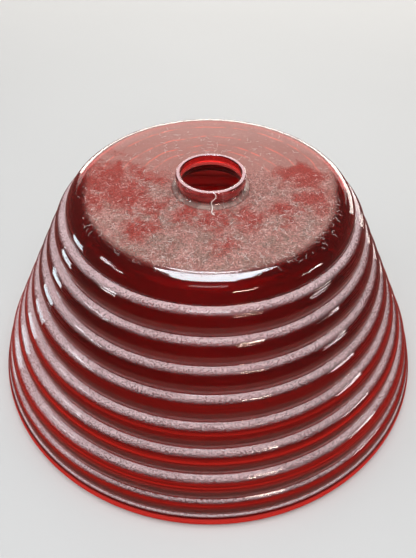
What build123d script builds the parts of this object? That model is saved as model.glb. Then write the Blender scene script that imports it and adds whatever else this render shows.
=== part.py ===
"""A ribbed bell of moulded ruby glass, one piece from its collar to its rim.

The bell stands mouth down, with its origin at the centre of the rim's foot and +Z up its axis.
A straight cone carries a stack of rounded ribs with a narrow valley between each pair.
Above them a soft shoulder turns into a flat crown, and a short lipped collar stands round the hole.
The glass was blown into a mould, so its inside follows the ribs with a softer wave, and the collar's
top face and the rim's foot were ground flat afterwards. All sizes are in millimetres.
"""

import os
from math import atan2, cos, sin

from build123d import *

# Overall
height = 168.0  # from the rim's foot to the collar's ground face
crown_height = 156.5  # the flat crown's upper face

# The cone that carries the ribs: its first valley, and the step from each valley to the next
rib_count = 7  # full ribs between the shoulder and the shorter last one
first_valley_radius = 101.4
first_valley_height = 144.3
valley_step_out = 8.66
valley_step_down = 17.35
rib_bulge = 4.0
valley_rounding = 0.8

# The wall and its inner face
wall = 4.0  # across the glass at a valley
crown_wall = 4.6
inner_bulge = 2.4
inner_rounding = 2.5

# The shoulders that join the cone to the crown
shoulder_width = 12.5
inner_shoulder_width = 9.0

# The foot: a short last rib, then a rolled rim with a narrow ground flat
ledge_radius = 167.4
ledge_height = 11.6
last_rib_bulge = 2.3
rim_bulge = 2.2
foot_radius = 169.6
foot_width = 2.6
foot_rounding = 0.6

# The collar: a lip for a gallery's screws, and the groove that they grip
bore_radius = 21.0
bore_length = 9.5
lip_radius = 24.3
lip_height = 6.0
lip_rounding = 1.2
groove_radius = 22.9
groove_height = 2.0
collar_fillet = 5.0
collar_foot_radius = 27.5
bore_flare = 8.0
ground_edge = 0.4  # the ground face's small bevel

cone_slope = atan2(valley_step_out, valley_step_down)  # half the cone's angle
groove_top = height - lip_height
bore_end = height - bore_length
crown_underside = crown_height - crown_wall


def valley(index):
    """The outer point of a valley, counted from the top."""
    return (
        first_valley_radius + index * valley_step_out,
        first_valley_height - index * valley_step_down,
    )


def inner_valley(index):
    """The point straight across the wall from a valley."""
    radius, level = valley(index)
    return radius - wall * cos(cone_slope), level - wall * sin(cone_slope)


def corners_at(section, points):
    """The section's corners that lie on the given points."""
    return [
        corner
        for corner in section.vertices()
        if any(abs(corner.X - x) + abs(corner.Y - y) < 0.01 for x, y in points)
    ]


valleys = [valley(index) for index in range(rib_count + 1)]
inner_valleys = [inner_valley(index) for index in range(rib_count + 1)]
ledge = (ledge_radius, ledge_height)
foot_corner = (foot_radius, 0)
inner_foot_corner = (foot_radius - foot_width, 0)
lip_corners = [(lip_radius, height), (lip_radius, groove_top)]
groove_foot = (groove_radius, groove_top - groove_height)
shoulder_start = (first_valley_radius - shoulder_width, crown_height)
inner_shoulder_start = (inner_valleys[0][0] - inner_shoulder_width, crown_underside)

with BuildPart() as glass_bell:
    with BuildSketch(Plane.XZ) as wall_section:
        with BuildLine():
            # The collar, from its bore across the ground face and down to the crown
            Line((bore_radius + ground_edge, height), lip_corners[0])
            Line(lip_corners[0], lip_corners[1])
            Line(lip_corners[1], (groove_radius, groove_top))
            Line((groove_radius, groove_top), groove_foot)
            RadiusArc(groove_foot, (collar_foot_radius, crown_height), -collar_fillet)
            # The crown and the shoulder, a quarter of an ellipse
            Line((collar_foot_radius, crown_height), shoulder_start)
            EllipticalCenterArc(
                (shoulder_start[0], first_valley_height),
                shoulder_width,
                crown_height - first_valley_height,
                start_angle=0,
                arc_size=90,
            )
            # The ribs, each an arc from one valley to the next
            for above, below in zip(valleys, valleys[1:]):
                SagittaArc(above, below, rib_bulge)
            SagittaArc(valleys[-1], ledge, last_rib_bulge)
            SagittaArc(ledge, foot_corner, rim_bulge)
            # The foot, and the softer wave up the inside
            Line(foot_corner, inner_foot_corner)
            SagittaArc(inner_valleys[-1], inner_foot_corner, inner_bulge / 2)
            for above, below in zip(inner_valleys, inner_valleys[1:]):
                SagittaArc(above, below, inner_bulge)
            EllipticalCenterArc(
                (inner_shoulder_start[0], inner_valleys[0][1]),
                inner_shoulder_width,
                crown_underside - inner_valleys[0][1],
                start_angle=0,
                arc_size=90,
            )
            # The crown's underside and the bore
            Line(inner_shoulder_start, (collar_foot_radius, crown_underside))
            RadiusArc((collar_foot_radius, crown_underside), (bore_radius, bore_end), bore_flare)
            Line((bore_radius, bore_end), (bore_radius, height - ground_edge))
            Line((bore_radius, height - ground_edge), (bore_radius + ground_edge, height))
        make_face()
        fillet(corners_at(wall_section, lip_corners), lip_rounding)
        fillet(corners_at(wall_section, valleys + [ledge]), valley_rounding)
        fillet(corners_at(wall_section, inner_valleys), inner_rounding)
        fillet(corners_at(wall_section, [foot_corner, inner_foot_corner]), foot_rounding)
    revolve(axis=Axis.Z)

glass_bell.part.label = "glass_bell"
os.makedirs("parts", exist_ok=True)
export_step(glass_bell.part, "parts/glass_bell.step")
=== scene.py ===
from math import asin, cos, pi, radians, sin

import bmesh
import bpy
from mathutils import Matrix, Vector


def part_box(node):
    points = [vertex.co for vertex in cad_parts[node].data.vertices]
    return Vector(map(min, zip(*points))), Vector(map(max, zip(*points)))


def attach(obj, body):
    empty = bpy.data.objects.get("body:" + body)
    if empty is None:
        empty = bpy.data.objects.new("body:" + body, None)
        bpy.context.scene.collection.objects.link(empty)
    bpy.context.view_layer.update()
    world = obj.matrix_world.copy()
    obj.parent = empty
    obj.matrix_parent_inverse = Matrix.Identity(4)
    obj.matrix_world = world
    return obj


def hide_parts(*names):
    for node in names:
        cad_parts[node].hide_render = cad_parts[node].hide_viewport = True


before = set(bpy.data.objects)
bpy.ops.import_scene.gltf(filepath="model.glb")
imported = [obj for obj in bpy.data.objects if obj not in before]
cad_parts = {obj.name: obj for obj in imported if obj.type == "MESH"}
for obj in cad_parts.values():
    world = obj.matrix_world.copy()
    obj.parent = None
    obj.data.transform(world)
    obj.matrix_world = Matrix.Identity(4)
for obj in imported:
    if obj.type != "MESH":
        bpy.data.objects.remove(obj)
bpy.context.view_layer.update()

bellLow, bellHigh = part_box("glass_bell")
mm = 0.001
scene = bpy.context.scene


class Wire:
    # A socket that can be used in sums: each operator adds the Math node it stands for
    def __init__(self, graph, socket):
        self.graph, self.socket = graph, socket

    def __getitem__(self, name):
        return Wire(self.graph, self.socket.node.outputs[name])

    def math(self, operation, *others):
        return self.graph.math(operation, self, *others)

    def __add__(self, other):
        return self.math("ADD", other)

    def __radd__(self, other):
        return self.graph.math("ADD", other, self)

    def __sub__(self, other):
        return self.math("SUBTRACT", other)

    def __rsub__(self, other):
        return self.graph.math("SUBTRACT", other, self)

    def __mul__(self, other):
        return self.math("MULTIPLY", other)

    def __rmul__(self, other):
        return self.graph.math("MULTIPLY", other, self)

    def __truediv__(self, other):
        return self.math("DIVIDE", other)

    def __gt__(self, other):
        return self.math("GREATER_THAN", other)

    def __lt__(self, other):
        return self.math("LESS_THAN", other)

    def ramp(self, low, high, toLow=0.0, toHigh=1.0):
        values = {"Value": self, "From Min": low, "From Max": high, "To Min": toLow, "To Max": toHigh}
        return self.graph.node("ShaderNodeMapRange", {"interpolation_type": "SMOOTHSTEP"}, values)


class Graph:
    # One node tree, for a material or for geometry
    def __init__(self, tree):
        self.tree = tree

    def node(self, kind, settings=None, inputs=None, output=0):
        made = self.tree.nodes.new(kind)
        for name, value in (settings or {}).items():
            setattr(made, name, value)
        for name, value in (inputs or {}).items():
            for one in value if isinstance(value, list) else [value]:
                if isinstance(one, Wire):
                    self.tree.links.new(one.socket, made.inputs[name])
                else:
                    made.inputs[name].default_value = one
        return Wire(self, made.outputs[output]) if len(made.outputs) else None

    def math(self, operation, *values):
        return self.node("ShaderNodeMath", {"operation": operation}, dict(enumerate(values)))

    def addVectors(self, first, second):
        return self.node("ShaderNodeVectorMath", {"operation": "ADD"}, {0: first, 1: second})

    def blend(self, mask, first, second):
        return self.node("ShaderNodeMix", {"data_type": "RGBA"}, {0: mask, 6: first, 7: second}, 2)


def newMaterial(name):
    material = bpy.data.materials.new(name)
    material.use_nodes = True
    material.node_tree.nodes.clear()
    return material, Graph(material.node_tree)


def newTree(name, inputs):
    tree = bpy.data.node_groups.new(name, "GeometryNodeTree")
    tree.interface.new_socket(name="Geometry", in_out="INPUT", socket_type="NodeSocketGeometry")
    for label, kind in inputs.items():
        tree.interface.new_socket(name=label, in_out="INPUT", socket_type="NodeSocket" + kind)
    tree.interface.new_socket(name="Geometry", in_out="OUTPUT", socket_type="NodeSocketGeometry")
    graph = Graph(tree)
    return graph, graph.node("NodeGroupInput")


def endTree(graph, geometry, material):
    real = graph.node("GeometryNodeRealizeInstances", None, {"Geometry": geometry})
    done = graph.node("GeometryNodeSetMaterial", None, {"Geometry": real, "Material": material})
    graph.node("NodeGroupOutput", None, {"Geometry": done})


def meshFromTree(name, start, graph, values):
    # Runs a tree on a starting mesh, and keeps the result as a plain mesh
    holder = bpy.data.objects.new(name + "Start", start)
    scene.collection.objects.link(holder)
    modifier = holder.modifiers.new("build", "NODES")
    modifier.node_group = graph.tree
    for item in graph.tree.interface.items_tree:
        if item.in_out == "INPUT" and item.name in values:
            modifier[item.identifier] = values[item.name]
    bpy.context.view_layer.update()
    ready = holder.evaluated_get(bpy.context.evaluated_depsgraph_get())
    mesh = bpy.data.meshes.new_from_object(ready)
    holder.modifiers.remove(modifier)
    bpy.data.objects.remove(holder)
    mesh.name = name
    piece = bpy.data.objects.new(name, mesh)
    scene.collection.objects.link(piece)
    return piece


# Camera, light and floor come first, because they hold for everything
cameraView = {
    "place": (0.0, -0.32704, 0.39095),
    "forward": (-0.003636, 0.709034, -0.705165),
    "right": (0.999872, 0.013578, 0.008498),
    "lens": 36.896, "sensor": 36.0, "shift": 0.00145,
    "nearest": 0.01, "farthest": 50.0,
}


def makeCamera():
    view = cameraView
    data = bpy.data.cameras.new("camera")
    data.lens, data.sensor_width, data.shift_x = view["lens"], view["sensor"], view["shift"]
    data.clip_start, data.clip_end = view["nearest"], view["farthest"]
    camera = bpy.data.objects.new("camera", data)
    scene.collection.objects.link(camera)
    back = -Vector(view["forward"]).normalized()
    right = Vector(view["right"]).normalized()
    up = back.cross(right).normalized()
    turn = Matrix((right, up, back)).transposed().to_4x4()
    camera.matrix_world = Matrix.Translation(view["place"]) @ turn
    scene.camera = camera


# name: direction round the bell, height above the horizon, distance, width, depth, brightness, colour
lights = {
    "overhead": (0, 80, 1.40, 1.50, 1.50, 3.5, (0.98, 0.985, 1.0)),
    "front": (8, 22, 2.00, 1.60, 1.10, 1.4, (1.0, 0.98, 0.96)),
    "left": (-84, 30, 1.90, 1.20, 1.00, 2.0, (0.96, 0.97, 1.0)),
    "right": (84, 30, 1.90, 1.20, 1.00, 1.2, (1.0, 0.93, 0.90)),
    "backWall": (178, 17, 2.20, 3.20, 1.15, 1.7, (1.0, 0.95, 0.89)),
}
# Cards that only show as reflections in the glass
cards = {
    "skylight": (178, 70, 1.10, 0.38, 0.74, 20.0, (0.86, 0.95, 1.0)),
    "skylightFront": (0, 66, 1.10, 0.34, 0.08, 9.0, (0.86, 0.95, 1.0)),
    "horizon": (170, 3, 2.30, 4.20, 0.90, 6.0, (1.0, 0.95, 0.88)),
    "windowLeft": (-76, 31, 1.50, 0.50, 0.13, 16.0, (0.92, 0.96, 1.0)),
    "nearLeft": (-94.5, -1.5, 0.38, 0.08, 0.10, 9.0, (0.72, 0.93, 1.0)),
    "windowRight": (74, 15, 1.50, 0.42, 0.13, 20.0, (1.0, 0.95, 0.91)),
    "lampBehind": (27, 37, 1.60, 0.40, 0.08, 42.0, (1.0, 0.84, 0.72)),
}
studio = {"aimHeight": 0.1, "skyColour": (0.92, 0.95, 1.0, 1), "skyStrength": 0.32}


def makeLamp(name, azimuth, height, distance, width, depth, brightness, colour):
    around, above = radians(azimuth), radians(height)
    way = Vector((sin(around) * cos(above), -cos(around) * cos(above), sin(above)))
    data = bpy.data.lights.new(name, "AREA")
    data.shape, data.size, data.size_y = "RECTANGLE", width, depth
    data.energy, data.color = brightness * pi * width * depth, colour
    lamp = bpy.data.objects.new(name, data)
    scene.collection.objects.link(lamp)
    lamp.location = Vector((0, 0, studio["aimHeight"])) + way * distance
    lamp.rotation_euler = way.to_track_quat("Z", "Y").to_euler()
    return lamp


def makeLights():
    for name, settings in lights.items():
        lamp = makeLamp(name, *settings)
        lamp.visible_glossy = name == "backWall"
    for name, settings in cards.items():
        card = makeLamp(name, *settings)
        card.visible_diffuse = card.visible_transmission = False
    world = bpy.data.worlds.new("studio")
    world.use_nodes = True
    background = world.node_tree.nodes["Background"]
    background.inputs["Color"].default_value = studio["skyColour"]
    background.inputs["Strength"].default_value = studio["skyStrength"]
    scene.world = world
    world.cycles_visibility.glossy = False
    scene.view_settings.view_transform = "Standard"


makeCamera()
makeLights()
print("camera and lights are in place")

floorLook = {
    "size": 12.0, "colour": (0.50, 0.50, 0.49, 1), "darker": (0.465, 0.465, 0.455, 1),
    "cloudScale": 3.0, "roughness": 0.6, "gap": 0.2,  # the gap under the bell is in mm
}


def makeFloor():
    look = floorLook
    material, graph = newMaterial("paleFloor")
    place = graph.node("ShaderNodeTexCoord")["Object"]
    cloud = graph.node("ShaderNodeTexNoise", None, {
        "Vector": place, "Scale": look["cloudScale"], "Detail": 3.0})
    surface = graph.node("ShaderNodeBsdfPrincipled", None, {
        "Base Color": graph.blend(cloud, look["darker"], look["colour"]), "Roughness": look["roughness"]})
    graph.node("ShaderNodeOutputMaterial", None, {"Surface": surface})
    half = look["size"] / 2
    mesh = bpy.data.meshes.new("floor")
    corners = [(-half, -half, 0), (half, -half, 0), (half, half, 0), (-half, half, 0)]
    mesh.from_pydata(corners, [], [(0, 1, 2, 3)])
    mesh.materials.append(material)
    floor = bpy.data.objects.new("floor", mesh)
    scene.collection.objects.link(floor)
    floor.location.z = bellLow.z - look["gap"] * mm
    floor.visible_glossy = False


makeFloor()
print("the floor is laid")

glassLook = {
    # the glass itself
    "tint": (0.915, 0.03, 0.015, 1), "density": 950.0, "refraction": 1.52, "roughness": 0.025,
    "sheen": 0.19, "sheenRoughness": 0.45, "sheenColour": (1.0, 0.40, 0.34, 1),
    # how much of each layer there is; the layer under the ribs, the glow in their flanks and in the rim, the
    # red arcs on the crown and part of the collar's layer are painted light
    "haze": 0.004, "underHaze": 0.07, "ribGlow": 0.23, "rimGlow": 0.82, "ribDust": 0.80,
    "crownFilm": 0.55, "crownRings": 0.60, "crownMarks": 0.60, "groundFace": 0.80, "insideFilm": 0.60,
    # and its colour
    "ribDustColour": (0.75, 0.56, 0.57, 1),
    # colours of painted light: the brown reflection under the ribs, the red glow in their flanks and the glow
    # in the rim
    "underColour": (0.55, 0.24, 0.20, 1),
    "rubyColour": (0.90, 0.030, 0.018, 1),
    "rimColour": (0.72, 0.030, 0.022, 1),
    # partly dust, partly the painted red glow of the collar's wall
    "collarColour": (0.66, 0.16, 0.15, 1),
    "cornerColour": (0.42, 0.31, 0.27, 1),
    "filmColour": (0.46, 0.25, 0.215, 1),
    "greyColour": (0.31, 0.225, 0.185, 1),
    "wipedColour": (0.48, 0.105, 0.085, 1),
    # painted light: the red arcs at the rear of the crown
    "ringColour": (0.80, 0.16, 0.11, 1),
    "markColour": (0.66, 0.50, 0.46, 1),
    "groundColour": (0.64, 0.43, 0.44, 1),
    "insideColour": (0.80, 0.62, 0.60, 1),
    "rings": (46, 54, 66, 80),  # radius in mm of each painted ring of light, the lit ribs seen through the rear of the crown
    # where the crown's film has been wiped: x, y and radius in mm
    "wiped": ((-70, 0, 29), (-80, -20, 17), (-58, -13, 18), (-39, -23, 12), (-18, -31, 11), (3, -35, 12),
              (26, -33, 12), (50, -27, 11), (70, -14, 13), (65, 13, 16), (-46, -47, 11), (10, -62, 8)),
    "ripple": 0.60, "rippleDepth": 0.0004,
    # heights where one layer gives way to another, some of dust and some of painted light, and the radius
    # where the crown's film ends
    "rimZone": (7.6 * mm, 9.2 * mm), "ledgeZone": (9.8 * mm, 12.2 * mm),
    "glowStarts": 12.5 * mm, "glowFades": (50 * mm, 110 * mm), "ribsEnd": 144.6 * mm,
    "crownZone": (150 * mm, 157.5 * mm), "filmEnds": (83.5 * mm, 89 * mm),
    "cornerStarts": 156.6 * mm, "cornerEnds": (157.5 * mm, 160 * mm), "collarStarts": 160 * mm,
    "innerWallEnds": 152 * mm, "undersideZone": (120 * mm, 153 * mm), "groundFaceDepth": 0.3 * mm,
}


class GlassSurface:
    # What the layers on the glass are worked out from, and the layers laid so far
    def __init__(self, graph, look):
        self.graph = graph
        self.place = graph.node("ShaderNodeTexCoord")["Object"]
        split = graph.node("ShaderNodeSeparateXYZ", None, {0: self.place})
        self.x, self.y, self.z = split["X"], split["Y"], split["Z"]
        normal = graph.node("ShaderNodeNewGeometry")["Normal"]
        facing = graph.node("ShaderNodeSeparateXYZ", None, {0: normal})
        self.up = facing["Z"]
        self.outward = facing["X"] * self.x + facing["Y"] * self.y
        self.outside = self.outward > 0
        self.radius = self.distanceTo(0, 0)
        self.onRibs = (self.z < look["ribsEnd"]) * self.outside
        crownLow, crownHigh = look["crownZone"]
        self.onFlat = self.up.ramp(0.985, 0.999) * self.between(self.z, crownLow, crownHigh)
        self.grain = self.noise(1000, 2)
        self.cloud = self.noise(22, 5)
        self.blotch = self.noise(80, 7, 0.6)
        # Thin lines round the wall that break up the painted glow in the ribs and the rim
        self.streaks = self.roundTheWall(620, 3).ramp(0.42, 0.60)
        self.colour = look["ribDustColour"]
        self.amount = look["haze"] * (0.5 + self.cloud)

    def noise(self, scale, detail, distortion=0.0, roughness=0.6):
        values = {"Vector": self.place, "Scale": scale, "Detail": detail, "Distortion": distortion,
                  "Roughness": roughness}
        return self.graph.node("ShaderNodeTexNoise", None, values)

    def roundTheWall(self, scale, detail):
        # A pattern that is the same all the way round, as the mould leaves it
        section = self.graph.node("ShaderNodeCombineXYZ", None, {"X": self.radius, "Z": self.z})
        values = {"Vector": section, "Scale": scale, "Detail": detail}
        return self.graph.node("ShaderNodeTexNoise", None, values)

    def distanceTo(self, centreX, centreY):
        across, along = self.x - centreX * mm, self.y - centreY * mm
        return (across * across + along * along).math("SQRT")

    def between(self, value, low, high):
        return (value > low) * (value < high)

    def layer(self, strength, colour):
        # Each layer is laid over the ones before it
        covered = 1 - (1 - self.amount) * (1 - strength)
        share = (strength / (covered + 0.0001)).math("MINIMUM", 1.0)
        self.colour = self.graph.blend(share, self.colour, colour)
        self.amount = covered


def paintedLightInWall(on, look):
    # Painted light: a painted brown reflection under each rib, a painted red glow in the flank of the lower
    # ribs and a painted bright red glow in the rim
    # Painted reflection: a brown band on the underside of each rib
    under = (on.up + 1.35 * (on.z - 0.05)).ramp(0.30, 0.42, 1.0, 0.0)
    on.layer(on.onRibs * under * look["underHaze"], look["underColour"])
    # Painted glow: light through the flank of the lower ribs, fading upward
    fadeLow, fadeHigh = look["glowFades"]
    flank = on.up.ramp(0.20, 0.50) * on.up.ramp(0.55, 0.80, 1.0, 0.0)
    glow = flank * on.z.ramp(fadeLow, fadeHigh, 1.0, 0.0) * (on.z > look["glowStarts"])
    on.layer(on.onRibs * glow * look["ribGlow"] * (0.55 + 0.9 * on.streaks), look["rubyColour"])
    # Painted glow: light gathered in the rim bead
    rimLow, rimHigh = look["rimZone"]
    rim = on.z.ramp(rimLow, rimHigh, 1.0, 0.0) * on.outside
    on.layer(rim * look["rimGlow"] * (0.80 + 0.35 * on.streaks), look["rimColour"])


def dustOnRibs(on, look):
    # Dust lies on the upper side of every rib, lower down on the left, and on the ledge above the rim
    leftSide = on.x.ramp(-0.14, -0.04, 1.0, 0.0)
    upperSide = (on.up + 0.10 * leftSide + (on.grain - 0.5) * 0.22).ramp(0.70, 0.90)
    dust = upperSide * (0.62 + 0.5 * on.cloud) * on.grain.ramp(0.38, 0.60, 0.50, 1.0)
    on.layer(on.onRibs * dust * look["ribDust"], look["ribDustColour"])
    ledgeLow, ledgeHigh = look["ledgeZone"]
    onLedge = on.between(on.z, ledgeLow, ledgeHigh) * on.up.ramp(0.55, 0.72) * on.outside
    on.layer(onLedge * on.grain.ramp(0.38, 0.60, 0.45, 1.0) * look["ribDust"], look["ribDustColour"])


def dustAndGlowOnCollar(on, look):
    # The collar gets a thin red layer, partly dust and partly a painted glow of light through its wall, and
    # dust has gathered in the corner at its foot
    # Partly dust and partly painted glow: the collar's wall painted red as if lit through the glass
    thin = 0.04 + 0.5 * on.blotch.ramp(0.40, 0.70)
    on.layer((on.z > look["collarStarts"]) * on.outside * thin, look["collarColour"])
    endLow, endHigh = look["cornerEnds"]
    corner = (on.z > look["cornerStarts"]) * on.z.ramp(endLow, endHigh, 1.0, 0.0)
    patchy = 0.35 + 0.35 * on.blotch.ramp(0.42, 0.58)
    on.layer(corner * on.outside * (on.up > 0.15) * patchy, look["cornerColour"])


def filmOnCrown(on, look):
    # The crown keeps a thin film with wiped patches, and scuffs on top; red arcs at its rear are painted
    # light, the lit ribs seen through the glass
    rear = on.y.ramp(-0.01, 0.04)
    filmLow, filmHigh = look["filmEnds"]
    reach = on.radius - 0.006 * rear + (on.grain - 0.5) * 0.012
    onCrown = on.onFlat * reach.ramp(filmLow, filmHigh, 1.0, 0.0)
    wiped = None
    for centreX, centreY, size in look["wiped"]:
        away = on.distanceTo(centreX, centreY) / (size * mm) + (on.blotch - 0.5) * 3.6
        spot = away.ramp(0.30, 1.40, 1.0, 0.0)
        wiped = spot if wiped is None else wiped.math("MAXIMUM", spot)
    # Painted light: red arcs at the rear where the lit ribs show through the crown
    paintedArcs = None
    for size in look["rings"]:
        offset = (on.radius / mm - size + (on.cloud - 0.5) * 9.0).math("ABSOLUTE")
        arc = offset.ramp(0.25, 0.9, 1.0, 0.0) * on.y.ramp(0.0, 0.05)
        paintedArcs = arc if paintedArcs is None else paintedArcs.math("MAXIMUM", arc)
    grey = 0.8 * on.noise(110, 4, 0.8).ramp(0.44, 0.60) * on.y.ramp(-0.03, 0.02, 1.0, 0.15)
    specked = on.grain.ramp(0.36, 0.64, 0.55, 1.25) * (1 - rear) + 1.05 * rear
    film = look["crownFilm"] * (0.8 + 0.4 * on.cloud) * specked * (1 - 0.25 * wiped)
    filmColour = on.graph.blend(grey, look["filmColour"], look["greyColour"])
    on.layer(onCrown * film, on.graph.blend(wiped, filmColour, look["wipedColour"]))
    on.layer(onCrown * paintedArcs * look["crownRings"] * on.blotch.ramp(0.40, 0.60), look["ringColour"])
    marks = on.noise(420, 8, 2.2, 0.7).ramp(0.52, 0.62) * (0.3 + 0.7 * on.blotch.ramp(0.40, 0.62))
    on.layer(onCrown * look["crownMarks"] * marks * (1 - 0.6 * rear), look["markColour"])
    onTop = (on.z > bellHigh.z - look["groundFaceDepth"]) * (on.up > 0.95)
    on.layer(onTop * look["groundFace"], look["groundColour"])


def filmInside(on, look):
    # A film on the inside scatters the light that has come through the wall
    wall = (on.outward < -0.0001) * (on.up < 0.9) * (on.z < look["innerWallEnds"])
    underLow, underHigh = look["undersideZone"]
    under = (on.up < -0.95) * on.between(on.z, underLow, underHigh)
    on.layer(wall.math("MAXIMUM", under) * look["insideFilm"] * (0.8 + 0.4 * on.cloud), look["insideColour"])


def makeGlass():
    look = glassLook
    material, graph = newMaterial("rubyGlass")
    on = GlassSurface(graph, look)
    # Layers of dust and film, and layers of painted glow and reflection
    for addLayers in (paintedLightInWall, dustOnRibs, dustAndGlowOnCollar, filmOnCrown, filmInside):
        addLayers(on, look)
    ripples = (on.roundTheWall(480, 2) + 0.15 * on.noise(45, 2)) * (1 - 0.85 * on.onFlat)
    waves = graph.node("ShaderNodeBump", None, {
        "Strength": look["ripple"], "Distance": look["rippleDepth"], "Height": ripples})
    glass = graph.node("ShaderNodeBsdfPrincipled", None, {
        "Normal": waves, "Base Color": (1, 1, 1, 1), "Transmission Weight": 1.0, "IOR": look["refraction"],
        "Roughness": look["roughness"], "Sheen Weight": look["sheen"],
        "Sheen Roughness": look["sheenRoughness"], "Sheen Tint": look["sheenColour"]})
    dust = graph.node("ShaderNodeBsdfPrincipled", None, {
        "Base Color": on.colour, "Roughness": 0.5, "Specular IOR Level": 0.0})
    mixed = graph.node("ShaderNodeMixShader", None, {0: on.amount, 1: glass, 2: dust})
    depth = graph.node("ShaderNodeVolumeAbsorption", None, {
        "Color": look["tint"], "Density": look["density"]})
    graph.node("ShaderNodeOutputMaterial", None, {"Surface": mixed, "Volume": depth})
    return material


bell = {  # lengths in mm
    "height": 168.0, "crownHeight": 156.5, "crownWall": 4.6,
    "ribCount": 7, "firstRadius": 101.4, "firstHeight": 144.3, "stepOut": 8.66, "stepDown": 17.35,
    "ribBulge": 4.0, "innerBulge": 2.4, "valleyRounding": 0.8, "innerRounding": 2.5, "wall": 4.0,
    "shoulderWidth": 12.5, "innerShoulderWidth": 9.0,
    "ledgeRadius": 167.4, "ledgeHeight": 11.6, "lastBulge": 2.3, "rimBulge": 2.2,
    "footRadius": 169.6, "footWidth": 2.6, "footRounding": 0.6,
    "boreRadius": 21.0, "boreLength": 9.5, "lipRadius": 24.3, "lipHeight": 6.0, "lipRounding": 1.2,
    "grooveRadius": 22.9, "grooveHeight": 2.0, "collarFootRadius": 27.5,
    "collarFilletDip": 0.92, "boreFlareDip": 1.47, "groundEdge": 0.4,
    # how finely each stretch of the section is divided, and the circles that divide the flat crown
    "ribSteps": 18, "innerSteps": 10, "shoulderSteps": 16, "innerShoulderSteps": 8, "rimSteps": 10,
    "filletSteps": 6, "crownCircles": (40, 60, 78), "undersideInset": 30, "turns": 216,
    "railRadius": 120.0,  # the section is swept round a circle of this radius
}


def bulgeArc(start, end, bulge, steps):
    # Points after the start of an arc that stands out from its chord, away from the axis
    start, end = Vector(start), Vector(end)
    chord = end - start
    half = chord.length / 2
    radius = (half * half + bulge * bulge) / (2 * abs(bulge))
    along = chord.normalized()
    out = Vector((abs(along.y), along.x if along.y < 0 else -along.x))
    swing = asin(min(1.0, half / radius))
    points = []
    for step in range(1, steps + 1):
        angle = -swing + 2 * swing * step / steps
        rise = (radius * cos(angle) - radius + abs(bulge)) * (1 if bulge > 0 else -1)
        points.append(start + along * (half + radius * sin(angle)) + out * rise)
    return points


def quarterRound(centre, width, rise, fromAngle, toAngle, steps):
    angles = [fromAngle + (toAngle - fromAngle) * step / steps for step in range(1, steps + 1)]
    return [Vector((centre[0] + width * cos(radians(a)), centre[1] + rise * sin(radians(a)))) for a in angles]


def sharp(points):
    return [(Vector(point), 0) for point in points]


def upperSection(size, firstValley, firstInner):
    # From the first inner valley up over the collar to the first outer valley, with a rounding for each point
    top, crown = size["height"], size["crownHeight"]
    underside, lipFoot = crown - size["crownWall"], top - size["lipHeight"]
    grooveFoot = lipFoot - size["grooveHeight"]
    bore, lip, groove = size["boreRadius"], size["lipRadius"], size["grooveRadius"]
    edge, rounding, collarFoot = size["groundEdge"], size["lipRounding"], size["collarFootRadius"]
    innerStart = firstInner.x - size["innerShoulderWidth"]
    outerStart = firstValley.x - size["shoulderWidth"]
    run = [(firstInner, size["innerRounding"])]
    run += sharp(quarterRound((innerStart, firstInner.y), size["innerShoulderWidth"],
                              underside - firstInner.y, 0, 90, size["innerShoulderSteps"]))
    run += sharp([(innerStart - size["undersideInset"], underside), (collarFoot, underside)])
    run += sharp(bulgeArc((collarFoot, underside), (bore, top - size["boreLength"]), -size["boreFlareDip"],
                          size["filletSteps"]))
    run += sharp([(bore, top - edge), (bore + edge, top)])
    run += [(Vector((lip, top)), rounding), (Vector((lip, lipFoot)), rounding)]
    run += sharp([(groove, lipFoot), (groove, grooveFoot)])
    run += sharp(bulgeArc((groove, grooveFoot), (collarFoot, crown), -size["collarFilletDip"],
                          size["filletSteps"]))
    run += sharp([(radius, crown) for radius in size["crownCircles"]] + [(outerStart, crown)])
    shoulder = quarterRound((outerStart, firstValley.y), size["shoulderWidth"], crown - firstValley.y,
                            90, 0, size["shoulderSteps"])
    return run + sharp(shoulder[:-1]) + [(firstValley, size["valleyRounding"])]


def lowerSection(size, lastValley, lastInner):
    # From the last outer valley down over the rim and up to the last inner valley
    ledge = (size["ledgeRadius"], size["ledgeHeight"])
    foot, innerFoot = (size["footRadius"], 0), (size["footRadius"] - size["footWidth"], 0)
    lastRib = bulgeArc(lastValley, ledge, size["lastBulge"], size["rimSteps"])
    rim = bulgeArc(ledge, foot, size["rimBulge"], size["rimSteps"])
    inside = bulgeArc(lastInner, innerFoot, size["innerBulge"] / 2, size["rimSteps"])
    run = [(lastValley, size["valleyRounding"])]
    run += sharp(lastRib[:-1]) + [(lastRib[-1], size["valleyRounding"])]
    run += sharp(rim[:-1]) + [(rim[-1], size["footRounding"])]
    run += [(Vector(innerFoot), size["footRounding"])]
    return run + sharp(reversed(inside[:-1])) + [(lastInner, size["innerRounding"])]


def sectionMesh(size):
    # The stretches of the wall's section that don't repeat
    slope = Vector((size["stepDown"], size["stepOut"])).normalized()
    firstValley = Vector((size["firstRadius"], size["firstHeight"]))
    lastValley = firstValley + size["ribCount"] * Vector((size["stepOut"], -size["stepDown"]))
    runs = (upperSection(size, firstValley, firstValley - slope * size["wall"]),
            lowerSection(size, lastValley, lastValley - slope * size["wall"]))
    mesh = bpy.data.meshes.new("section")
    points, edges, roundings = [], [], []
    for run in runs:
        first = len(points)
        points += [((point.x - size["railRadius"]) * mm, point.y * mm, 0) for point, _ in run]
        roundings += [rounding * mm for _, rounding in run]
        edges += [(first + step, first + step + 1) for step in range(len(run) - 1)]
    mesh.from_pydata(points, edges, [])
    layer = mesh.attributes.new("rounding", "FLOAT", "POINT")
    layer.data.foreach_set("value", roundings)
    return mesh


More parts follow.
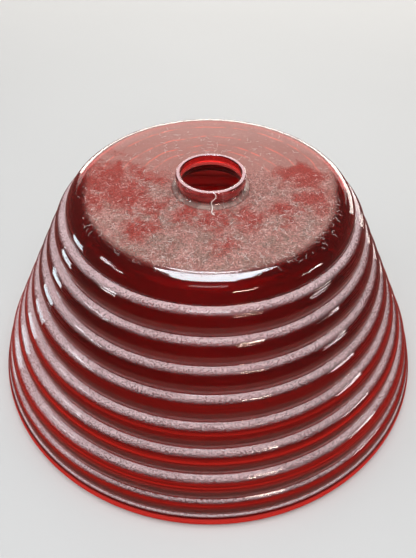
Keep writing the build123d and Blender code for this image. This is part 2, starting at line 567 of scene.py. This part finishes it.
def ribbedWallTree():
    # Repeats the rib's arc down the cone, joins it to the rest of the section and sweeps it round
    graph, group = newTree("ribbedWall", {
        "Ribs": "Int", "First Valley": "Vector", "First Inner Valley": "Vector", "Step": "Vector",
        "Rib Middle": "Vector", "Inner Middle": "Vector", "Valley Rounding": "Float",
        "Inner Rounding": "Float", "Rib Steps": "Int", "Inner Steps": "Int", "Rail Radius": "Float",
        "Turns": "Int", "Glass": "Material"})

    def ribs(start, middle, steps, rounding):
        arc = graph.node("GeometryNodeCurveArc", {"mode": "POINTS"}, {
            "Resolution": group[steps], "Start": group[start],
            "Middle": graph.addVectors(group[start], group[middle]),
            "End": graph.addVectors(group[start], group["Step"])})
        ends = graph.node("GeometryNodeCurveEndpointSelection")
        marked = graph.node("GeometryNodeStoreNamedAttribute", {"data_type": "FLOAT", "domain": "POINT"}, {
            "Geometry": arc, "Name": "rounding", "Selection": ends, "Value": group[rounding]})
        line = graph.node("GeometryNodeMeshLine", {"mode": "OFFSET"}, {
            "Count": group["Ribs"], "Start Location": (0, 0, 0), "Offset": group["Step"]})
        copies = graph.node("GeometryNodeInstanceOnPoints", None, {"Points": line, "Instance": marked})
        whole = graph.node("GeometryNodeRealizeInstances", None, {"Geometry": copies})
        return graph.node("GeometryNodeCurveToMesh", None, {"Curve": whole})

    outer = ribs("First Valley", "Rib Middle", "Rib Steps", "Valley Rounding")
    inner = ribs("First Inner Valley", "Inner Middle", "Inner Steps", "Inner Rounding")
    joined = graph.node("GeometryNodeJoinGeometry", None, {"Geometry": [group["Geometry"], outer, inner]})
    merged = graph.node("GeometryNodeMergeByDistance", None, {"Geometry": joined, "Distance": 0.00002})
    section = graph.node("GeometryNodeMeshToCurve", None, {"Mesh": merged})
    rounding = graph.node("GeometryNodeInputNamedAttribute", {"data_type": "FLOAT"}, {"Name": "rounding"})
    soft = graph.node("GeometryNodeFilletCurve", {"mode": "POLY"}, {
        "Curve": section, "Count": 4, "Radius": rounding, "Limit Radius": True})
    standing = graph.node("GeometryNodeTransform", None, {"Geometry": soft, "Scale": (1, -1, 1)})
    rail = graph.node("GeometryNodeCurvePrimitiveCircle", {"mode": "RADIUS"}, {
        "Resolution": group["Turns"], "Radius": group["Rail Radius"]})
    upright = graph.node("GeometryNodeSetCurveNormal", {"mode": "Z_UP"}, {"Curve": rail})
    swept = graph.node("GeometryNodeCurveToMesh", None, {"Curve": upright, "Profile Curve": standing})
    smooth = graph.node("GeometryNodeSetShadeSmooth", None, {"Geometry": swept, "Shade Smooth": True})
    endTree(graph, smooth, group["Glass"])
    return graph


def closeShell(piece):
    shell = bmesh.new()
    shell.from_mesh(piece.data)
    bmesh.ops.remove_doubles(shell, verts=shell.verts, dist=1e-6)
    bmesh.ops.recalc_face_normals(shell, faces=shell.faces)
    openEdges = sum(1 for edge in shell.edges if len(edge.link_faces) != 2)
    volume = round(shell.calc_volume() * 1e6, 1)
    print("bell:", len(shell.faces), "faces,", openEdges, "open edges, volume", volume, "cm3")
    shell.to_mesh(piece.data)
    shell.free()


def makeBell(material):
    size = bell
    step = Vector((size["stepOut"], -size["stepDown"], 0))
    across = Vector((size["stepDown"], size["stepOut"], 0)).normalized()
    valley = Vector((size["firstRadius"] - size["railRadius"], size["firstHeight"], 0))
    piece = meshFromTree("ruby_bell", sectionMesh(size), ribbedWallTree(), {
        "Ribs": size["ribCount"], "First Valley": valley * mm,
        "First Inner Valley": (valley - across * size["wall"]) * mm, "Step": step * mm,
        "Rib Middle": (step / 2 + across * size["ribBulge"]) * mm,
        "Inner Middle": (step / 2 + across * size["innerBulge"]) * mm,
        "Valley Rounding": size["valleyRounding"] * mm, "Inner Rounding": size["innerRounding"] * mm,
        "Rib Steps": size["ribSteps"] + 1, "Inner Steps": size["innerSteps"] + 1,
        "Rail Radius": size["railRadius"] * mm, "Turns": size["turns"], "Glass": material})
    closeShell(piece)
    return piece


rubyBell = makeBell(makeGlass())
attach(rubyBell, "root")
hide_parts("glass_bell")
print("the bell is swept")

lintLook = {
    "colour": (0.90, 0.84, 0.80, 1), "darker": (0.55, 0.46, 0.43, 1), "roughness": 0.9,
    "fibres": 80000.0, "specks": 26000.0,  # for each square metre, where they lie thickest
    "length": 3.0, "thickness": 0.085, "speckSize": 0.20, "bend": 4.5, "seed": 7,
    "field": 92.0, "fieldSides": 48, "fieldHeight": 200.0,  # the disc that the lint falls from
    "clearOfCollar": 31.0,
    # a curly thread that hangs over the collar's lip: x, y and z in mm
    "thread": ((2.6, -24.2, 168.2), (3.9, -24.8, 166.6), (3.3, -24.9, 164.4), (0.9, -25.0, 162.6),
               (0.3, -25.2, 160.9), (1.3, -26.0, 159.4), (1.5, -27.6, 158.0), (0.6, -29.4, 157.0),
               (1.4, -31.2, 156.7), (2.8, -32.0, 156.7)),
    "threadThickness": 0.32,
}


def makeLintMaterial():
    material, graph = newMaterial("paleLint")
    place = graph.node("ShaderNodeTexCoord")["Object"]
    patch = graph.node("ShaderNodeTexNoise", None, {"Vector": place, "Scale": 700.0, "Detail": 2.0})
    surface = graph.node("ShaderNodeBsdfPrincipled", None, {
        "Base Color": graph.blend(patch, lintLook["darker"], lintLook["colour"]),
        "Roughness": lintLook["roughness"]})
    graph.node("ShaderNodeOutputMaterial", None, {"Surface": surface})
    return material


def lintTree():
    graph, group = newTree("lintOnBell", {
        "Bell": "Object", "Fibres": "Float", "Specks": "Float", "Fibre Length": "Float",
        "Thickness": "Float", "Thread Thickness": "Float", "Bend": "Float", "Speck Size": "Float",
        "Clear Radius": "Float", "Seed": "Int", "Lint": "Material"})
    place = graph.node("GeometryNodeInputPosition")
    split = graph.node("ShaderNodeSeparateXYZ", None, {0: place})
    x, y = split["X"], split["Y"]
    radius = (x * x + y * y).math("SQRT")
    clump = graph.node("ShaderNodeTexNoise", None, {"Vector": place, "Scale": 34.0, "Detail": 3.0})
    outOfCollar, inFront = radius > group["Clear Radius"], y.ramp(-0.06, 0.02, 1.0, 0.0)
    thickest = outOfCollar * inFront * clump.ramp(0.36, 0.62, 0.15, 1.0)
    glass = graph.node("GeometryNodeObjectInfo", {"transform_space": "ORIGINAL"}, {"Object": group["Bell"]},
                       "Geometry")

    def scatter(density, seed):
        return graph.node("GeometryNodeDistributePointsOnFaces", {"distribute_method": "RANDOM"}, {
            "Mesh": group["Geometry"], "Density": density * thickest, "Seed": seed})

    def randomTurn(seed):
        values = {0: (0, 0, 0), 1: (0, 0, 2 * pi), "Seed": seed}
        return graph.node("FunctionNodeRandomValue", {"data_type": "FLOAT_VECTOR"}, values)

    def drop(geometry, lift):
        # Lays points on the glass straight below them, and leaves out those that miss it
        ray = graph.node("GeometryNodeRaycast", None, {
            "Target Geometry": glass, "Source Position": place, "Ray Direction": (0, 0, -1),
            "Ray Length": 1.0})
        lifted = graph.node("ShaderNodeCombineXYZ", None, {"Z": lift})
        landed = graph.addVectors(ray["Hit Position"], lifted)
        hits = graph.node("GeometryNodeDeleteGeometry", None, {
            "Geometry": geometry, "Selection": ray["Is Hit"] < 0.5})
        return graph.node("GeometryNodeSetPosition", None, {"Geometry": hits, "Position": landed})

    def thicken(curve, thickness, sides):
        outline = graph.node("GeometryNodeCurvePrimitiveCircle", {"mode": "RADIUS"}, {
            "Resolution": sides, "Radius": thickness})
        return graph.node("GeometryNodeCurveToMesh", None, {
            "Curve": curve, "Profile Curve": outline, "Fill Caps": True})

    def fibres():
        line = graph.node("GeometryNodeCurvePrimitiveLine", {"mode": "DIRECTION"}, {
            "Start": (0, 0, 0), "Direction": (1, 0, 0), "Length": group["Fibre Length"]})
        strand = graph.node("GeometryNodeResampleCurve", None, {"Curve": line, "Count": 8})
        scale = graph.node("FunctionNodeRandomValue", {"data_type": "FLOAT"}, {
            2: 0.25, 3: 1.25, "Seed": group["Seed"] + 2})
        strands = graph.node("GeometryNodeInstanceOnPoints", None, {
            "Points": scatter(group["Fibres"], group["Seed"]), "Instance": strand,
            "Rotation": randomTurn(group["Seed"] + 1), "Scale": scale})
        loose = graph.node("GeometryNodeRealizeInstances", None, {"Geometry": strands})
        swirl = graph.node("ShaderNodeTexNoise", None, {
            "Vector": place, "Scale": 380.0, "Detail": 1.0}, "Color")
        swirl = graph.node("ShaderNodeSeparateXYZ", None, {0: swirl})
        shift = graph.node("ShaderNodeCombineXYZ", None, {
            "X": (swirl["X"] - 0.5) * group["Bend"], "Y": (swirl["Y"] - 0.5) * group["Bend"]})
        curled = graph.node("GeometryNodeSetPosition", None, {"Geometry": loose, "Offset": shift})
        return thicken(drop(curled, group["Thickness"]), group["Thickness"], 3)

    def thread():
        lone = graph.node("GeometryNodeInputMeshEdgeNeighbors") < 0.5
        path = graph.node("GeometryNodeMeshToCurve", None, {"Mesh": group["Geometry"], "Selection": lone})
        path = graph.node("GeometryNodeCurveSplineType", {"spline_type": "NURBS"}, {"Curve": path})
        path = graph.node("GeometryNodeResampleCurve", None, {"Curve": path, "Count": 40})
        return thicken(path, group["Thread Thickness"], 6)

    def specks():
        fleck = graph.node("GeometryNodeMeshIcoSphere", None, {
            "Radius": group["Speck Size"], "Subdivisions": 1})
        scale = graph.node("FunctionNodeRandomValue", {"data_type": "FLOAT_VECTOR"}, {
            0: (0.4, 0.4, 0.3), 1: (1.5, 1.5, 0.6), "Seed": group["Seed"] + 4})
        return graph.node("GeometryNodeInstanceOnPoints", None, {
            "Points": drop(scatter(group["Specks"], group["Seed"] + 3), 0.0), "Instance": fleck,
            "Rotation": randomTurn(group["Seed"] + 5), "Scale": scale})

    everything = graph.node("GeometryNodeJoinGeometry", None, {"Geometry": [fibres(), thread(), specks()]})
    endTree(graph, everything, group["Lint"])
    return graph


def lintField(look):
    # A disc above the crown for the lint to fall from, and the thread's path
    sides, radius, height = look["fieldSides"], look["field"] * mm, look["fieldHeight"] * mm
    turns = [2 * pi * side / sides for side in range(sides)]
    disc = [(radius * cos(turn), radius * sin(turn), height) for turn in turns]
    path = [tuple(value * mm for value in point) for point in look["thread"]]
    links = [(sides + step, sides + step + 1) for step in range(len(path) - 1)]
    field = bpy.data.meshes.new("lintField")
    field.from_pydata(disc + path, links, [tuple(range(sides))])
    return field


def makeLint(bellPiece, material):
    look = lintLook
    return meshFromTree("lint", lintField(look), lintTree(), {
        "Bell": bellPiece, "Fibres": look["fibres"], "Specks": look["specks"],
        "Fibre Length": look["length"] * mm, "Thickness": look["thickness"] * mm,
        "Thread Thickness": look["threadThickness"] * mm, "Bend": look["bend"] * mm,
        "Speck Size": look["speckSize"] * mm, "Clear Radius": look["clearOfCollar"] * mm,
        "Seed": look["seed"], "Lint": material})


lint = makeLint(rubyBell, makeLintMaterial())
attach(lint, "root")
print("lint:", len(lint.data.polygons), "faces")
